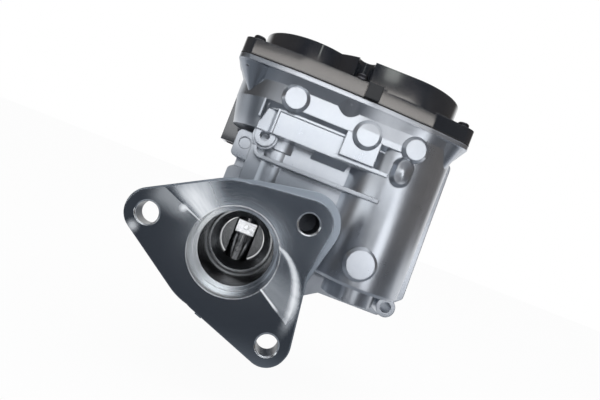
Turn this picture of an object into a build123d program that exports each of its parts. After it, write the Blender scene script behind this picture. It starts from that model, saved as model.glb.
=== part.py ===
from build123d import *
import os
from math import asin, atan, atan2, cos, degrees, hypot, pi, radians, sin, sqrt

# Electrically driven exhaust gas recirculation valve. X runs along the gear case, Y from the
# gas flange into the valve, Z up to the cover. The origin is the centre of the gas bore on
# the machined face of the three-hole flange.

os.makedirs("parts", exist_ok=True)

# Fits between pieces
run_fit = 0.05
gap = 0.4
seat_gap = 0.3

# Gas flange: ears are (x, z) of their holes
pad_t = 3.0
flange_t = 9.0
cast_margin = 0.8
tapped_margin = 3.2
nib = (-3.4, -26.4)
ear_r = 9.3
bolt_r = 4.25
tapped_r = 4.0
tapped_deep = 16.0
ear_left = (-34.5, 2.5)
ear_right = (22.5, 20.0)
ear_low = (24.3, -27.9)

# Gas way
mouth_r = 17.1
mouth_deep = 12.0
duct_r = 15.0
duct_wall = 8.0
throat_r = 10.5
sleeve_wall = 4.0
sleeve_len = 26.0
lead_in = 7.0

# Valve shaft and what carries it
shaft_y = 55.0
shaft_r = 5.5
shaft_top_r = 4.0
shaft_tip_r = 3.0
tower_wall = 4.2
bush_r = 7.8
bush_len = 13.0
lower_bush_len = 10.0
seal_len = 2.6
plug_t = 2.0
plate_t = 2.0
flat_deep = 2.4
flat_low = 2.4
flat_h = 6.0
plate_screw_r = 1.25
plate_screw_z = 5.6

# Gears
module = 0.8
pressure = radians(25)
addendum = 0.8 * module
dedendum = 1.05 * module
play = 0.14
sector_count = 58
pinion_count = 14
wheel_count = 56
motor_count = 15
sector_low = 66.0
sector_t = 6.0
wheel_low = 74.0
wheel_t = 5.0
hub_r = 7.5
pin_r = 2.5
stop_r = 1.5
stop_reach = 15.0

# Motor
motor_x = 57.0
motor_y = 51.0
barrel_r = 22.7
barrel_low = -1.0
barrel_floor = 5.5
can_r = 18.3
can_t = 1.5
motor_shaft_r = 1.6
bearing_r = 4.0
bearing_len = 4.0
core_r = 14.3
core_low = 17.0
magnet_t = 1.8
motor_screw_r = 1.25
motor_ear_reach = 22.6

# Gear case and lip
floor_z = 63.0
floor_t = 3.0
case_wall = 2.6
lip_under = 75.4
lip_top = 77.4
lip_reach = 3.1
lug_r = 5.6
screw_r = 1.6
screw_play = 0.3
lugs = ((-24.0, 33.0), (23.2, 27.4), (75.2, 36.2), (83.0, 74.0), (34.0, 82.0), (-3.0, 82.4))

# Cover
gasket_t = 0.6
cover_wall = 2.4
rim_h = 6.6
dome_room = 2.7
left_dome = (1.0, 55.0, 24.8)
right_dome = (46.8, 51.6, 27.0)
wheel_dome = (30.0, 52.5, 27.0)
clip_x = 30.0
clip_y = 22.4
clip_w = 6.6
head_h = 2.6
head_r = 3.3
head_room = 0.5

# Rear flange: bolts are (x, z)
rear_y = 88.0
rear_t = 8.0
rear_left = -22.0
rear_right = 92.0
rear_low = -16.2
outlet_r = 15.5
outlet_rim = 26.0
rear_bolt_r = 2.6
rear_boss_r = 4.8
rear_bolts = ((77.0, -6.2), (82.0, 62.0), (34.0, -12.0))
boss_fronts = (rear_y - 38.0, rear_y - 12.0, rear_y - 12.0)

# Connector bay behind the left dome
bay_right = -11.6
bay_front = rear_y - 20.0
bay_gap = 0.8
block_w = 17.0
socket_low = 42.0
socket_wall = 2.0
socket_deep = 17.0
pin_pitch = 2.6

# Band around the gear case: its cove meets the lip, its ledge hangs over the skirt
band_low = 62.8
cove_h = 4.5
# x, y, radius, depth and slant of the gussets
gussets = ((-19.8, 38.6, 10.0, 11.0, 38), (23.2, 38.4, 13.6, 9.0, 22), (71.0, 39.6, 9.0, 15.0, 22))
ledge_drop = 2.6
shoulder_low = 50.0

# Cast pads on the front: x, z, radius, front face y
pads = ((0.1, 67.0, 4.7, 25.8), (34.6, 63.8, 5.0, 25.0), (56.6, 65.8, 4.5, 26.0), (52.5, 10.5, 6.4, 27.0))
pad_foot = 1.2
bump = (54.8, 54.6, 9.4, 13.7)
bump_y = 26.0

# Front of the casting: faces at y, steps at x or z
skirt_y = 31.0
skirt_left = -4.0
skirt_right = 26.0
step_y = 27.4
step_low = 52.0
step_right = 42.0
brow_left = 16.0
brow_right = 33.0
brow_low = 47.0
tower_step = 44.6
rib_t = 1.8
rib_low_z = 38.0
rib_high_z = 50.2
rib_curl = 4.9
rib_boss = (-6.8, 48.1)
rib_boss_y = 34.0
rib_boss_hole_r = 2.2
rib_boss_deep = 12.0
side_lug = (-19.6, -10.2, 35.2, 48.2)
side_lug_y = 45.0
dimple = (-14.9, 42.6, 2.8)
bulge_r = 13.0
bulge_low = -8.6


def save(piece, name):
    piece.part.label = name
    export_step(piece.part, f"parts/{name}.step")


def over(x, y, z):
    return Plane(origin=(x, y, z))


def upright(y):
    # Seen from the gas flange's side: sketch x is X, sketch y is Z, and the normal is -Y
    return Plane(origin=(0, y, 0), x_dir=(1, 0, 0), z_dir=(0, -1, 0))


def hull(*discs):
    with BuildSketch() as outline:
        for x, y, r in discs:
            with Locations((x, y)):
                Circle(r)
        make_hull()
    return outline.sketch


def without_bay(outline, margin=0.0):
    with BuildSketch() as cut:
        add(outline)
        with Locations((bay_right + margin, bay_front - margin)):
            Rectangle(80, 80, align=(Align.MAX, Align.MIN), mode=Mode.SUBTRACT)
    return cut.sketch


def pitch_radius(count):
    return module * count / 2


def involute(r, base_r):
    turn = sqrt(max((r / base_r) ** 2 - 1, 0))
    return turn - atan(turn)


def teeth(count, first, last, direction):
    # Points of the teeth numbered first to last about the origin, tooth 0 centred on direction
    base_r = pitch_radius(count) * cos(pressure)
    root_r = pitch_radius(count) - dedendum
    half = pi / 2 / count - play / 4 / pitch_radius(count) + involute(pitch_radius(count), base_r)
    radii = [root_r]
    if base_r > root_r:
        radii.append(base_r)
    radii += [pitch_radius(count), pitch_radius(count) + addendum]
    flank = [(r, half - involute(max(r, base_r), base_r)) for r in radii]
    points = []
    for number in range(first, last + 1):
        middle = direction + 2 * pi * number / count
        sides = [(r, middle - a) for r, a in flank] + [(r, middle + a) for r, a in reversed(flank)]
        points += [(r * cos(a), r * sin(a)) for r, a in sides]
    return points


# The intermediate axis lies where both centre distances hold
reach_in = pitch_radius(sector_count) + pitch_radius(pinion_count)
reach_out = pitch_radius(wheel_count) + pitch_radius(motor_count)
span = hypot(motor_x, motor_y - shaft_y)
along = (reach_in**2 - reach_out**2 + span**2) / 2 / span
to_mid = atan2(motor_y - shaft_y, motor_x) + atan2(sqrt(reach_in**2 - along**2), along)
mid_x = reach_in * cos(to_mid)
mid_y = shaft_y + reach_in * sin(to_mid)
to_motor = atan2(motor_y - mid_y, motor_x - mid_x)
print("intermediate axis", round(mid_x, 3), round(mid_y, 3))

# Closed, the sector's teeth reach from the mesh round to the front, and one past the mesh
first_tooth, last_tooth = -15, 1
sector_low_edge = to_mid + 2 * pi * (first_tooth - 0.5) / sector_count

# Outlines seen from above
tip_room = 0.9
case_discs = (
    (0, shaft_y, pitch_radius(sector_count) + addendum + tip_room),
    (mid_x, mid_y, pitch_radius(wheel_count) + addendum + tip_room),
)
case_hull = hull(*case_discs, (motor_x, motor_y, can_r + gap))
case_in = without_bay(case_hull, case_wall)
case_out = without_bay(
    hull(*[(x, y, r + case_wall) for x, y, r in case_discs], (motor_x, motor_y, barrel_r))
)
band_y = shaft_y - case_discs[0][2] - case_wall
shoulder_slant = 13.0


def front_hull(reach, *more):
    discs = [(x, y, r + case_wall + reach) for x, y, r in case_discs]
    return hull(*discs, (motor_x, motor_y, barrel_r + max(reach - 2.2, -0.1)), *more)


lip_hull = front_hull(lip_reach, *[(x, y, lug_r) for x, y in lugs if y > shaft_y / 2 + 1])
lip_out = without_bay(lip_hull)

# Gas flange outline: each ear is drawn together with a root disc of the flange's middle
ear_hulls = [
    hull((*ear_left, ear_r - 0.8), (-2.4, 0.7, 25.5)),
    hull((*ear_right, ear_r), (4.6, 3.2, 24.2)),
    hull((*ear_low, ear_r - 0.8), (3.2, -1.2, 25.8)),
]

# Heights along the valve shaft
tower_r = bush_r + tower_wall
sleeve_r = throat_r + sleeve_wall
sleeve_y = shaft_y - sleeve_len / 2
upper_bush_z = 34.0
well_low = upper_bush_z + bush_len + seal_len + 0.4
spring_r = 8.3
wire_r = 0.8
spring_turns = 5
spring_pitch = 1.75
well_r = spring_r + wire_r + 0.6
lower_bush_z = -26.5
boss_low = lower_bush_z - 1 - plug_t
shaft_low = lower_bush_z - seat_gap
gear_seat = floor_z + 1.0
nut_low = sector_low + sector_t + 1.2
nut_top = nut_low + 2.8
carrier_low = nut_top + 4.2
carrier_top = carrier_low + 4.4
sensor_magnet_t = 2.2
board_t = 1.6
board_sunk = 0.5
rim_top = lip_top + gasket_t + rim_h
dome_top = carrier_top + sensor_magnet_t + dome_room + board_t + board_sunk + cover_wall
can_top = floor_z - 5.0
core_high = can_top - 14.0
motor_ears = [
    (motor_x + motor_ear_reach * cos(radians(a)), motor_y + motor_ear_reach * sin(radians(a)))
    for a in (150, 214)
]
stop_dir = sector_low_edge - asin((stop_r + seat_gap) / stop_reach)
stop_x = stop_reach * cos(stop_dir)
stop_y = shaft_y + stop_reach * sin(stop_dir)
pin_low = floor_z - 7.0
pin_top = carrier_low + 1.2
pin_seat_h = 1.9
core_bottom = -8.0
core_right = 36.0
core_front = 44.0
skirt_low = rib_high_z - 0.4
groove_deep = 2.0
groove_in = 18.5
groove_out = 21.5

# Housing
with BuildPart() as housing:
    # cove that flares out from the gear case to the lip, with a gusset under each front lug
    for z in (lip_under + 0.4, lip_under - cove_h):
        with BuildSketch(over(0, 0, z)):
            add(front_hull(lip_reach if z > lip_under else -0.1))
    loft(ruled=True)
    for x, y, r, deep, slant in gussets:
        with BuildSketch(over(x, y, lip_under)):
            Circle(r)
        extrude(amount=-deep, taper=slant)
    # gear case down to its ledge
    with BuildSketch(over(0, 0, band_low)):
        add(case_out)
    extrude(amount=lip_top - band_low)
    with BuildSketch(over(0, 0, floor_z - floor_t)):
        add(without_bay(case_hull))
    extrude(amount=floor_t)
    # casting behind the gas flange's face, thicker at the tapped ear
    with BuildSketch(upright(pad_t)):
        for ear in ear_hulls:
            add(ear)
        offset(amount=cast_margin)
        add(hull((*ear_right, ear_r + tapped_margin), (4.6, 3.2, 24.2 + 2 * cast_margin)))
        with Locations(nib):
            Rectangle(3.0, 2.4, rotation=-20)
    extrude(amount=pad_t - flange_t)
    with BuildSketch(upright(flange_t - 1)):
        with Locations(ear_right):
            Circle(tapped_r + 4)
    extrude(amount=flange_t - 1 - tapped_deep - 4)
    # duct along the gas way
    with BuildSketch(upright(pad_t + 1)):
        Circle(duct_r + duct_wall)
    extrude(amount=-(rear_y - pad_t - 1))
    # tower around the valve shaft, and its boss below the duct
    with BuildSketch(over(0, shaft_y, 0)):
        Circle(tower_r)
    extrude(amount=floor_z - 1)
    with BuildSketch(over(0, shaft_y, tower_step)):
        Circle(tower_r + 1.2)
    extrude(amount=skirt_low - tower_step + 1)
    with BuildSketch(over(0, shaft_y, boss_low)):
        Circle(bush_r + 3)
    extrude(amount=-boss_low)
    # core between tower and barrel
    with BuildSketch(over(bay_right, core_front, core_bottom)):
        Rectangle(core_right - bay_right, rear_y - 4 - core_front, align=(Align.MIN, Align.MIN))
    extrude(amount=floor_z - 1 - core_bottom)
    # skirt under the gear case, with two thin upright ribs at its left end
    with BuildSketch(over(0, 0, skirt_low)):
        with BuildLine():
            Polyline(
                (-11.6, 44),
                (-11.6, skirt_y + 1.5),
                (skirt_left - 1.2, skirt_y + 3),
                (skirt_left - 1.2, skirt_y - 0.4),
                (skirt_left - 0.2, skirt_y - 0.4),
                (skirt_left, skirt_y),
                (skirt_right, skirt_y),
                (step_right, skirt_y + 3),
                (step_right, rear_y - 18),
                (-11.6, rear_y - 24),
                close=True,
            )
        make_face()
    extrude(amount=floor_z - skirt_low)
    with Locations((-12.6, skirt_y - 1.8, shoulder_low + 4.6)):
        Box(1.1, 14, floor_z - shoulder_low - 4.6, align=(Align.MIN, Align.MIN, Align.MIN))
    with Locations((skirt_right, step_y, step_low)):
        Box(step_right - skirt_right, 14, floor_z - step_low, align=(Align.MIN, Align.MIN, Align.MIN))
    # brow that slopes back from the skirt to the core
    with BuildSketch(Plane.YZ.offset(brow_left)):
        with BuildLine():
            Polyline(
                (skirt_y + 3, skirt_low),
                (core_front, brow_low),
                (core_front + 2, brow_low),
                (core_front + 2, skirt_low),
                close=True,
            )
        make_face()
    extrude(amount=brow_right - brow_left)
    # sloping underside of the ledge, the shoulder left of it, and the lip
    with BuildSketch(Plane.YZ.offset(-11.6)):
        with BuildLine():
            Polyline(
                (band_y, band_low),
                (skirt_y + 1, band_low - ledge_drop),
                (skirt_y + 6, band_low - ledge_drop),
                (skirt_y + 6, band_low),
                close=True,
            )
        make_face()
    extrude(amount=motor_x)
    with BuildSketch(over(0, 0, band_low)):
        add(case_out)
        with Locations((-9, 0)):
            Rectangle(120, 200, align=(Align.MIN, Align.CENTER), mode=Mode.SUBTRACT)
    extrude(amount=shoulder_low - band_low, taper=shoulder_slant)
    with BuildSketch(over(0, 0, lip_under)):
        add(lip_out)
    extrude(amount=lip_top - lip_under)
    # motor barrel with the bulge of its bearing, the bosses of its screws and the block behind it
    with BuildSketch(over(motor_x, motor_y, barrel_low)):
        Circle(barrel_r - 1.2)
    extrude(amount=1.4, taper=-40)
    with BuildSketch(over(motor_x, motor_y, barrel_low + 1.4)):
        Circle(barrel_r)
    extrude(amount=floor_z - barrel_low - 1.4)
    with BuildSketch(over(motor_x, motor_y, bulge_low)):
        Circle(bulge_r)
    extrude(amount=barrel_low - bulge_low + 1)
    with BuildSketch(over(0, 0, floor_z - 12)):
        with Locations(*motor_ears):
            Circle(3.6)
    extrude(amount=10)
    with BuildSketch(over(motor_x + 2, motor_y, barrel_low)):
        Rectangle(2 * barrel_r - 10, rear_y - 2 - motor_y, align=(Align.CENTER, Align.MIN))
    extrude(amount=floor_z - barrel_low)
    # rear flange
    with BuildSketch(upright(rear_y)) as rear_outline:
        with BuildLine():
            Polyline(
                (rear_left, 0),
                (30, rear_low),
                (84, rear_low),
                (88, -8),
                (rear_right + 1.8, -3),
                (rear_right, lip_under),
                (bay_right, lip_under),
                (bay_right, socket_low - 4),
                (rear_left, socket_low - 12),
                close=True,
            )
        make_face()
        fillet(rear_outline.vertices(), 2.5)
        Circle(outlet_rim)
        with BuildLine():
            Polyline((0, 0), (12, -23.1), (38.8, -22.3), (50, rear_low + 1), (50, 0), close=True)
        make_face()
    extrude(amount=rear_t)
    # ribs between tower and barrel, the lower one curled up around the small boss
    with BuildSketch(over(0, 0, rib_low_z)):
        with BuildLine():
            Polyline((rib_boss[0] + 1.4, 50), (rib_boss[0] + 1.4, 35.5), (50, 29), (56, 50), close=True)
        make_face()
    extrude(amount=rib_t)
    with BuildSketch(over(0, 0, rib_high_z)):
        with BuildLine():
            Polyline((22, 50), (24, 31), (49.5, 29), (56, 50), close=True)
        make_face()
    extrude(amount=rib_t)
    with BuildSketch(upright(35.5)):
        with Locations((rib_boss[0] + 1.5, rib_low_z + rib_curl)):
            Circle(rib_curl)
            Circle(rib_curl - rib_t, mode=Mode.SUBTRACT)
            Rectangle(20, 20, align=(Align.CENTER, Align.MIN), mode=Mode.SUBTRACT)
            Rectangle(20, 20, align=(Align.MIN, Align.CENTER), mode=Mode.SUBTRACT)
    extrude(amount=-12)
    # bosses of the rear flange's bolts
    for (x, z), front in zip(rear_bolts, boss_fronts):
        with BuildSketch(upright(front)):
            with Locations((x, z)):
                Circle(rear_boss_r)
        extrude(amount=front + rear_t - rear_y - 1)
    with BuildSketch(upright(rib_boss_y)):
        with Locations(rib_boss):
            Circle(rear_boss_r)
    extrude(amount=-rib_boss_deep - 2)
    with BuildSketch(upright(rib_boss_y + 3)):
        with Locations(rib_boss):
            Circle(rear_boss_r + 1)
    extrude(amount=-rib_boss_deep)
    # side lug with its dimple, on an arm that reaches back
    with BuildSketch(upright(side_lug_y)):
        left, right, low, high = side_lug
        with Locations((left, low)):
            RectangleRounded(right - left, high - low, 2.4, align=(Align.MIN, Align.MIN))
    extrude(amount=-16)
    with BuildSketch(upright(side_lug_y)):
        with Locations(dimple[:2]):
            Circle(dimple[2])
    extrude(amount=-1.4, mode=Mode.SUBTRACT)
    with BuildSketch(upright(side_lug_y + 8)):
        with Locations((side_lug[0] + 3, side_lug[2] + 7)):
            Rectangle(16, 11, align=(Align.MIN, Align.MAX))
    extrude(amount=-8)
    # pads with sloping feet, and the rounded bump on the barrel
    for x, z, r, front in pads:
        with BuildSketch(upright(front)):
            with Locations((x, z)):
                Circle(r)
        extrude(amount=-pad_foot - 0.6, taper=-40)
        with BuildSketch(upright(front + pad_foot + 0.5)):
            with Locations((x, z)):
                Circle(r + pad_foot)
        extrude(amount=-8)
    with BuildSketch(upright(bump_y)):
        with Locations(bump[:2]):
            SlotOverall(bump[3] - 3, bump[2] - 3, rotation=90)
    extrude(amount=-2.4, taper=-32)
    with BuildSketch(upright(bump_y + 2.3)):
        with Locations(bump[:2]):
            SlotOverall(bump[3], bump[2], rotation=90)
    extrude(amount=-8)
    # machined pad on the gas flange
    with BuildSketch(upright(0)):
        for ear in ear_hulls:
            add(ear)
    extrude(amount=-pad_t)
    # gear room, barrel bore, spring well and shaft bore
    with BuildSketch(over(0, 0, floor_z)):
        add(case_in)
    extrude(amount=lip_top - floor_z, mode=Mode.SUBTRACT)
    with BuildSketch(over(motor_x, motor_y, barrel_low + barrel_floor)):
        Circle(can_r + gap)
    extrude(amount=floor_z, mode=Mode.SUBTRACT)
    for low, high, r in (
        (well_low, floor_z, well_r),
        (upper_bush_z, well_low, bush_r),
        (0, upper_bush_z, shaft_r + gap),
        (lower_bush_z + lower_bush_len, 0, shaft_r + gap),
        (boss_low, lower_bush_z + lower_bush_len, bush_r),
    ):
        with BuildSketch(over(0, shaft_y, low)):
            Circle(r)
        extrude(amount=high - low, mode=Mode.SUBTRACT)
    # seat of the intermediate pin
    with BuildSketch(over(mid_x, mid_y, floor_z)):
        Circle(pin_r + 1.7)
    extrude(amount=pin_seat_h)
    with BuildSketch(over(mid_x, mid_y, pin_low)):
        Circle(pin_r)
    extrude(amount=20, mode=Mode.SUBTRACT)
    with BuildSketch(over(stop_x, stop_y, floor_z - 6)):
        Circle(stop_r)
    extrude(amount=10, mode=Mode.SUBTRACT)
    with BuildSketch(over(0, 0, floor_z - 8)):
        with Locations(*motor_ears):
            Circle(motor_screw_r)
    extrude(amount=8, mode=Mode.SUBTRACT)
    with BuildSketch(over(0, 0, lip_under - 2)):
        with Locations(*lugs):
            Circle(screw_r)
    extrude(amount=lip_top - lip_under + 2, mode=Mode.SUBTRACT)
    # gas way
    for front, back, r in (
        (0, mouth_deep, mouth_r),
        (mouth_deep, sleeve_y, duct_r),
        (sleeve_y, sleeve_y + sleeve_len, sleeve_r),
        (sleeve_y + sleeve_len, rear_y, outlet_r),
    ):
        with BuildSketch(upright(front)):
            Circle(r)
        extrude(amount=front - back, mode=Mode.SUBTRACT)
    # flange holes
    with BuildSketch(upright(0)):
        with Locations(ear_left, ear_low):
            Circle(bolt_r)
    extrude(amount=-flange_t, mode=Mode.SUBTRACT)
    with BuildSketch(upright(0)):
        with Locations(ear_right):
            Circle(tapped_r)
    extrude(amount=-tapped_deep, mode=Mode.SUBTRACT)
    # connector bay
    with BuildSketch(over(bay_right, bay_front, socket_low - 4)):
        Rectangle(40, 40, align=(Align.MAX, Align.MIN))
    extrude(amount=40, mode=Mode.SUBTRACT)
    # bolt holes and seal groove of the rear flange
    for (x, z), front in zip(rear_bolts, boss_fronts):
        with BuildSketch(upright(front)):
            with Locations((x, z)):
                Circle(rear_bolt_r)
        extrude(amount=front - rear_y, mode=Mode.SUBTRACT)
    with BuildSketch(upright(rib_boss_y)):
        with Locations(rib_boss):
            Circle(rib_boss_hole_r)
    extrude(amount=-rib_boss_deep, mode=Mode.SUBTRACT)
    with BuildSketch(upright(rear_y)):
        Circle(groove_out)
        Circle(groove_in, mode=Mode.SUBTRACT)
    extrude(amount=groove_deep, mode=Mode.SUBTRACT)
save(housing, "housing")

with BuildPart() as rear_seal:
    with BuildSketch(upright(rear_y)):
        Circle(groove_out)
        Circle(groove_in, mode=Mode.SUBTRACT)
    extrude(amount=groove_deep)
save(rear_seal, "rear_seal")

# Cover
with BuildPart() as cover:
    with BuildSketch(over(0, 0, lip_top + gasket_t)):
        add(lip_hull)
    extrude(amount=rim_top - lip_top - gasket_t)
    for dome in (hull(left_dome), hull(wheel_dome, right_dome)):
        with BuildSketch(over(0, 0, rim_top - 1)):
            add(dome)
        extrude(amount=dome_top - rim_top + 1)
    # connector block
    with BuildSketch(over(bay_right - bay_gap, bay_front + bay_gap, socket_low)):
        Rectangle(block_w, rear_y - bay_front - 2 * bay_gap, align=(Align.MAX, Align.MIN))
    extrude(amount=rim_top - socket_low)
    # block on the front edge beside the middle screw
    with Locations((clip_x, clip_y, lip_top + gasket_t)):
        Box(clip_w, 5, rim_h, align=(Align.CENTER, Align.MIN, Align.MIN))
    # inside
    with BuildSketch(over(0, 0, lip_top + gasket_t)):
        add(case_in)
    extrude(amount=rim_top - cover_wall - lip_top - gasket_t, mode=Mode.SUBTRACT)
    for discs in ((left_dome,), (wheel_dome, right_dome)):
        with BuildSketch(over(0, 0, rim_top - cover_wall)):
            add(hull(*[(x, y, r - cover_wall) for x, y, r in discs]))
        extrude(amount=dome_top - rim_top, mode=Mode.SUBTRACT)
    # pockets for the screw heads, with a wall around the one that reaches into a dome
    with BuildSketch(over(0, 0, rim_top - cover_wall)):
        with Locations(lugs[1]):
            Circle(head_r + head_room + cover_wall)
        add(hull(wheel_dome, right_dome), mode=Mode.INTERSECT)
    extrude(amount=dome_top - rim_top + cover_wall)
    with BuildSketch(over(0, 0, rim_top)):
        with Locations(*lugs):
            Circle(head_r + head_room)
    extrude(amount=dome_top, mode=Mode.SUBTRACT)
    # socket, open at the bottom
    with BuildSketch(over(bay_right - bay_gap - socket_wall, bay_front + bay_gap + socket_wall, socket_low)):
        Rectangle(
            block_w - 2 * socket_wall,
            rear_y - bay_front - 2 * bay_gap - 2 * socket_wall,
            align=(Align.MAX, Align.MIN),
        )
    extrude(amount=socket_deep, mode=Mode.SUBTRACT)
    with BuildSketch(over(0, 0, lip_top)):
        with Locations(*lugs):
            Circle(screw_r + screw_play)
    extrude(amount=20, mode=Mode.SUBTRACT)
    # socket of the intermediate pin, posts of the sensor board
    with BuildSketch(over(mid_x, mid_y, carrier_low)):
        Circle(pin_r + 2)
    extrude(amount=dome_top - cover_wall - carrier_low + 0.5)
    with BuildSketch(over(mid_x, mid_y, carrier_low)):
        Circle(pin_r)
    extrude(amount=pin_top - carrier_low, mode=Mode.SUBTRACT)
    with BuildSketch(over(0, shaft_y, dome_top - cover_wall - board_sunk)):
        with GridLocations(16, 12, 2, 2):
            Circle(1.2)
    extrude(amount=1)
save(cover, "cover")

with BuildPart() as cover_gasket:
    with BuildSketch(over(0, 0, lip_top)):
        add(lip_out)
        add(case_in, mode=Mode.SUBTRACT)
        with Locations(*lugs):
            Circle(screw_r + screw_play, mode=Mode.SUBTRACT)
    extrude(amount=gasket_t)
save(cover_gasket, "cover_gasket")

with BuildPart() as cover_screws:
    with BuildSketch(over(0, 0, lip_under - 0.6)):
        with Locations(*lugs):
            Circle(screw_r)
    extrude(amount=rim_top - lip_under + 0.6)
    with BuildSketch(over(0, 0, rim_top)):
        with Locations(*lugs):
            Circle(head_r)
    extrude(amount=head_h)
save(cover_screws, "cover_screws")

# Valve
with BuildPart() as throat_sleeve:
    with BuildSketch() as sleeve_profile:
        with BuildLine():
            Polyline(
                (throat_r, sleeve_y + lead_in),
                (sleeve_r - 0.9, sleeve_y),
                (sleeve_r, sleeve_y),
                (sleeve_r, sleeve_y + sleeve_len),
                (throat_r, sleeve_y + sleeve_len),
                close=True,
            )
        make_face()
    revolve(axis=Axis.Y)
    with BuildSketch(over(0, shaft_y, -30)):
        Circle(shaft_r + gap)
    extrude(amount=60, mode=Mode.SUBTRACT)
save(throat_sleeve, "throat_sleeve")

with BuildPart() as valve_shaft:
    for low, high, r in (
        (shaft_low, gear_seat, shaft_r),
        (gear_seat, nut_top, shaft_top_r),
        (nut_top, carrier_top - 1, shaft_tip_r),
    ):
        with BuildSketch(over(0, shaft_y, low)):
            Circle(r)
        extrude(amount=high - low)
    # slot for the plate, milled flat, screw holes
    with Locations((0, shaft_y, 0)):
        Box(4 * shaft_r, plate_t, 2 * (throat_r - 0.2), mode=Mode.SUBTRACT)
    with Locations((0, shaft_y - shaft_r, flat_low + flat_h / 2)):
        Box(4 * shaft_r, 2 * flat_deep, flat_h, mode=Mode.SUBTRACT)
    with BuildSketch(upright(shaft_y - shaft_r)):
        with Locations((0, plate_screw_z), (0, -plate_screw_z)):
            Circle(plate_screw_r)
    extrude(amount=-2 * shaft_r, mode=Mode.SUBTRACT)
save(valve_shaft, "valve_shaft")

with BuildPart() as butterfly_plate:
    with BuildSketch(upright(shaft_y - plate_t / 2)):
        Circle(throat_r - gap)
        with Locations((0, plate_screw_z), (0, -plate_screw_z)):
            Circle(plate_screw_r, mode=Mode.SUBTRACT)
    extrude(amount=-plate_t)
save(butterfly_plate, "butterfly_plate")

with BuildPart() as plate_screws:
    with BuildSketch(upright(shaft_y - shaft_r + flat_deep + 0.1)):
        with Locations((0, plate_screw_z), (0, -plate_screw_z)):
            Circle(plate_screw_r)
    extrude(amount=-(2 * shaft_r - flat_deep - 0.1))
    with BuildSketch(upright(shaft_y + shaft_r)):
        with Locations((0, plate_screw_z), (0, -plate_screw_z)):
            Circle(2.2)
    extrude(amount=-1.4)
save(plate_screws, "plate_screws")

with BuildPart() as upper_bush:
    with BuildSketch(over(0, shaft_y, upper_bush_z)):
        Circle(bush_r)
        Circle(shaft_r + run_fit, mode=Mode.SUBTRACT)
    extrude(amount=bush_len)
save(upper_bush, "upper_bush")

with BuildPart() as lower_bush:
    with BuildSketch(over(0, shaft_y, lower_bush_z)):
        Circle(bush_r)
        Circle(shaft_r + run_fit, mode=Mode.SUBTRACT)
    extrude(amount=lower_bush_len)
save(lower_bush, "lower_bush")

with BuildPart() as shaft_seal:
    with BuildSketch(over(0, shaft_y, upper_bush_z + bush_len)):
        Circle(bush_r)
        Circle(shaft_r + seat_gap, mode=Mode.SUBTRACT)
    extrude(amount=seal_len)
save(shaft_seal, "shaft_seal")

with BuildPart() as shaft_plug:
    with BuildSketch(over(0, shaft_y, boss_low)):
        Circle(bush_r)
    extrude(amount=plug_t)
save(shaft_plug, "shaft_plug")

with BuildPart() as return_spring:
    with BuildLine(over(0, shaft_y, well_low + seat_gap + wire_r)) as coil:
        Helix(pitch=spring_pitch, height=spring_pitch * spring_turns, radius=spring_r)
    with BuildSketch(Plane(origin=coil.line @ 0, z_dir=coil.line % 0)):
        RegularPolygon(wire_r, 8)
    sweep(is_frenet=True)
save(return_spring, "return_spring")

# Gear train
with BuildPart() as output_gear:
    with BuildSketch(over(0, shaft_y, sector_low)):
        with BuildLine():
            Polyline((0, 0), *teeth(sector_count, first_tooth, last_tooth, to_mid), close=True)
        make_face()
    extrude(amount=sector_t)
    with BuildSketch(over(0, shaft_y, gear_seat)):
        Circle(hub_r)
    extrude(amount=nut_low - gear_seat)
    with BuildSketch(over(0, shaft_y, gear_seat)):
        Circle(shaft_top_r)
        middle = to_mid + pi * (first_tooth + last_tooth) / sector_count
        for turn in (-26, 0, 26):
            with Locations((14 * cos(middle + radians(turn)), 14 * sin(middle + radians(turn)))):
                Circle(2.4)
    extrude(amount=nut_low - gear_seat, mode=Mode.SUBTRACT)
save(output_gear, "output_gear")

with BuildPart() as gear_nut:
    with BuildSketch(over(0, shaft_y, nut_low)):
        RegularPolygon(5.3, 6)
        Circle(shaft_top_r, mode=Mode.SUBTRACT)
    extrude(amount=nut_top - nut_low)
save(gear_nut, "gear_nut")

with BuildPart() as magnet_carrier:
    with BuildSketch(over(0, shaft_y, carrier_low)):
        Circle(hub_r)
        Circle(shaft_tip_r, mode=Mode.SUBTRACT)
    extrude(amount=carrier_top - carrier_low)
save(magnet_carrier, "magnet_carrier")

with BuildPart() as sensor_magnet:
    with BuildSketch(over(0, shaft_y, carrier_top)):
        Circle(5.5)
    extrude(amount=sensor_magnet_t)
save(sensor_magnet, "sensor_magnet")

with BuildPart() as sensor_board:
    with Locations((0, shaft_y, dome_top - cover_wall - board_sunk)):
        Box(22, 17, board_t, align=(Align.CENTER, Align.CENTER, Align.MAX))
save(sensor_board, "sensor_board")

with BuildPart() as intermediate_gear:
    with BuildSketch(over(mid_x, mid_y, floor_z + pin_seat_h + seat_gap)):
        with BuildLine():
            Polyline(*teeth(pinion_count, 0, pinion_count - 1, to_mid + pi + pi / pinion_count), close=True)
        make_face()
    extrude(amount=wheel_low - floor_z - pin_seat_h - seat_gap)
    with BuildSketch(over(mid_x, mid_y, wheel_low)):
        with BuildLine():
            Polyline(*teeth(wheel_count, 0, wheel_count - 1, to_motor), close=True)
        make_face()
        with PolarLocations(13.5, 6):
            Circle(3.6, mode=Mode.SUBTRACT)
    extrude(amount=wheel_t)
    with BuildSketch(over(mid_x, mid_y, floor_z)):
        Circle(pin_r + run_fit)
    extrude(amount=30, mode=Mode.SUBTRACT)
save(intermediate_gear, "intermediate_gear")

with BuildPart() as intermediate_pin:
    with BuildSketch(over(mid_x, mid_y, pin_low)):
        Circle(pin_r)
    extrude(amount=pin_top - pin_low)
save(intermediate_pin, "intermediate_pin")

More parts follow.
